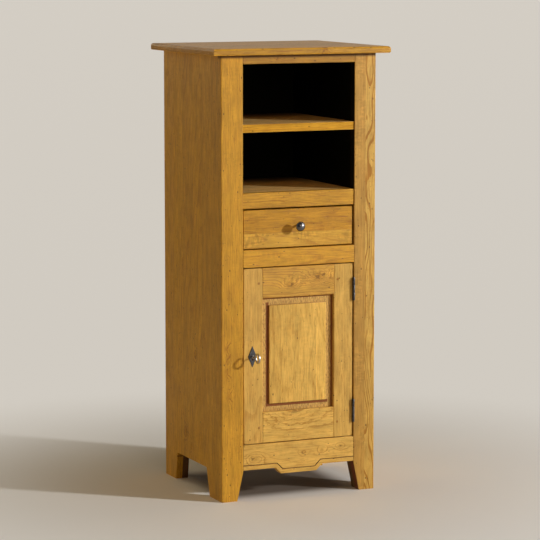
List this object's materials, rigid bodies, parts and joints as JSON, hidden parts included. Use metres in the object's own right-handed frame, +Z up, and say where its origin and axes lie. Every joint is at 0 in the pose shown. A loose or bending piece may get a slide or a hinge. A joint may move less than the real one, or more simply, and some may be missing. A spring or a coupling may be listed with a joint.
{
  "type": "highboard",
  "caption": "Tall narrow rustic oak highboard: open niches at the top, a drawer with a turned knob, and a lockable raised-panel door above a stepped apron and cut-away feet.",
  "frame": {"origin": "on the floor, under the centre of the overall box", "axes": "+Z up, +Y from the front to the back, +X to the right of a person facing the front"},
  "size_m": [0.576, 0.535, 1.36],
  "materials": {
    "oak": "satin lacquer over honey-coloured rustic oak",
    "inner_wood": "planed, uncoated",
    "iron": "blackened, slightly worn",
    "steel": "plain"
  },
  "bodies": {
    "carcass": {"top_board": "oak", "left_side_panel": "oak", "right_side_panel": "oak", "left_front_stile": "oak", "right_front_stile": "oak", "left_front_foot_block": "inner_wood", "right_front_foot_block": "inner_wood", "left_rear_foot_block": "inner_wood", "right_rear_foot_block": "inner_wood", "back_panel": "inner_wood", "top_front_rail": "oak", "niche_shelf": "oak", "left_niche_lining": "oak", "right_niche_lining": "oak", "niche_floor_rail": "oak", "niche_floor": "oak", "drawer_rail": "oak", "drawer_deck": "inner_wood", "apron": "oak", "cupboard_floor": "inner_wood", "cupboard_shelf": "inner_wood", "left_shelf_batten": "inner_wood", "right_shelf_batten": "inner_wood", "door_stop": "inner_wood", "left_drawer_guide": "inner_wood", "right_drawer_guide": "inner_wood", "left_drawer_kicker": "inner_wood", "right_drawer_kicker": "inner_wood", "left_drawer_stop": "inner_wood", "right_drawer_stop": "inner_wood", "upper_hinge_frame_leaf": "iron", "upper_hinge_pin": "iron", "lower_hinge_frame_leaf": "iron", "lower_hinge_pin": "iron", "strike_plate": "iron"},
    "drawer": {"drawer_front": "oak", "drawer_left_side": "inner_wood", "drawer_right_side": "inner_wood", "drawer_back": "inner_wood", "drawer_bottom": "inner_wood", "drawer_knob": "iron"},
    "door": {"door_lock_stile": "oak", "door_hinge_stile": "oak", "door_top_rail": "oak", "door_bottom_rail": "oak", "door_panel": "oak", "door_pegs": "oak", "upper_hinge_door_leaf": "iron", "lower_hinge_door_leaf": "iron", "escutcheon": "iron", "lock_case": "iron"},
    "key": {"key": "iron"},
    "bolt": {"lock_bolt": "steel"}
  },
  "joints": [
    {"name": "drawer_slide", "type": "slide", "parent": "carcass", "child": "drawer", "axis": [0, -1, 0], "range_m": [0, 0.3]},
    {"name": "door_hinge", "type": "hinge", "parent": "carcass", "child": "door", "pos_m": [0.181, -0.218, 0.43775], "axis": [0, 0, 1], "range_deg": [0, 170]},
    {"name": "key_turn", "type": "hinge", "parent": "door", "child": "key", "pos_m": [-0.1525, -0.252, 0.43775], "axis": [0, -1, 0], "range_deg": [0, 180]},
    {"name": "bolt_throw", "type": "slide", "parent": "door", "child": "bolt", "axis": [-1, 0, 0], "range_m": [0, 0.012]}
  ],
  "couplings": [
    {"joint": "key_turn", "follows": "bolt_throw", "rad_per_m": 261.8}
  ]
}
